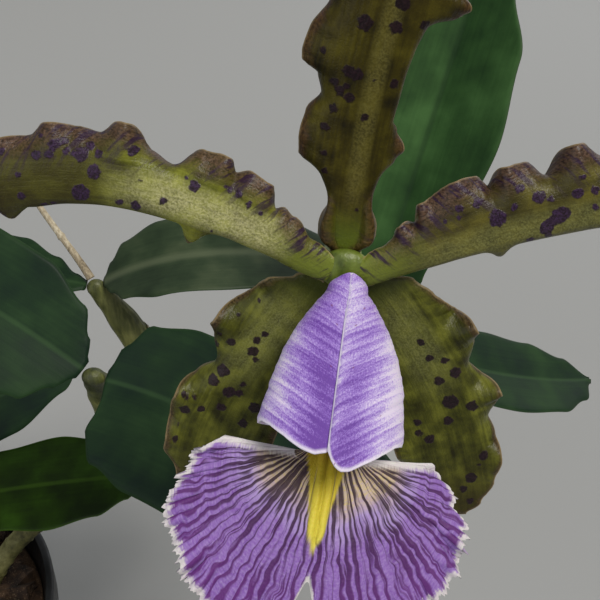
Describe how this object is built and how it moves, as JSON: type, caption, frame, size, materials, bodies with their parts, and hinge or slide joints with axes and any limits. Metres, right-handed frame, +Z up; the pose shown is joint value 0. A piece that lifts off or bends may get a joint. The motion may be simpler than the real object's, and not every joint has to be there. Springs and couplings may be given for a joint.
{
  "type": "potted orchid",
  "caption": "Cattleya schilleriana in flower: a round black pot of bark, cane-like pseudobulbs with leathery leaves, and one spotted olive flower with a lilac lip.",
  "frame": {"origin": "centre of the pot's flat base, on the surface the pot stands on", "axes": "+Z up; the flower faces -Y; the newer growths creep over the pot's rim towards +X"},
  "size_m": [0.3913, 0.2817, 0.3563],
  "materials": {
    "black_plastic": "matt black injection-moulded nursery pot",
    "bark": "rough damp bark chips",
    "rhizome": "woody green-brown rhizome",
    "root": "chalky white velamen root",
    "bulb": "satin green-brown pseudobulb with dry papery skins",
    "dry_sheath": "dry papery plant tissue",
    "leaf": "thick leathery dark green leaf, satin",
    "young_leaf": "thick leathery bright green young leaf, satin",
    "stem": "fresh green flower stem, satin",
    "tepal": "waxy olive tepal with dark maroon spots",
    "lip": "velvety lilac lip with crimson-purple veins and a yellow disc",
    "column": "waxy pale column and cap"
  },
  "bodies": {
    "root": {"pot": "black_plastic", "bark_medium": "bark", "rhizome": "rhizome", "pseudobulb_a": "bulb", "pseudobulb_b": "bulb", "pseudobulb_d": "bulb", "pseudobulb_f": "bulb", "pseudobulb_g": "bulb", "pseudobulb_h": "bulb", "leaf_b_left": "leaf", "leaf_b_right": "leaf", "leaf_a_up": "leaf", "leaf_a_right": "leaf", "leaf_d_right": "leaf", "leaf_d_left": "leaf", "leaf_f_right": "young_leaf", "leaf_f_back": "leaf", "leaf_g_left": "leaf", "leaf_g_back": "leaf", "leaf_h_left": "leaf", "leaf_h_front": "leaf", "soil_root_1": "root", "soil_root_2": "root", "soil_root_3": "root", "air_root_1": "root", "air_root_2": "root", "new_shoot": "young_leaf", "old_flower_stalk": "dry_sheath", "flower_stem": "stem", "flower_sheath": "dry_sheath", "dorsal_sepal": "tepal", "petal_left": "tepal", "petal_right": "tepal", "lateral_sepal_left": "tepal", "lateral_sepal_right": "tepal", "lip": "lip", "column": "column", "anther_cap": "column"}
  },
  "joints": []
}
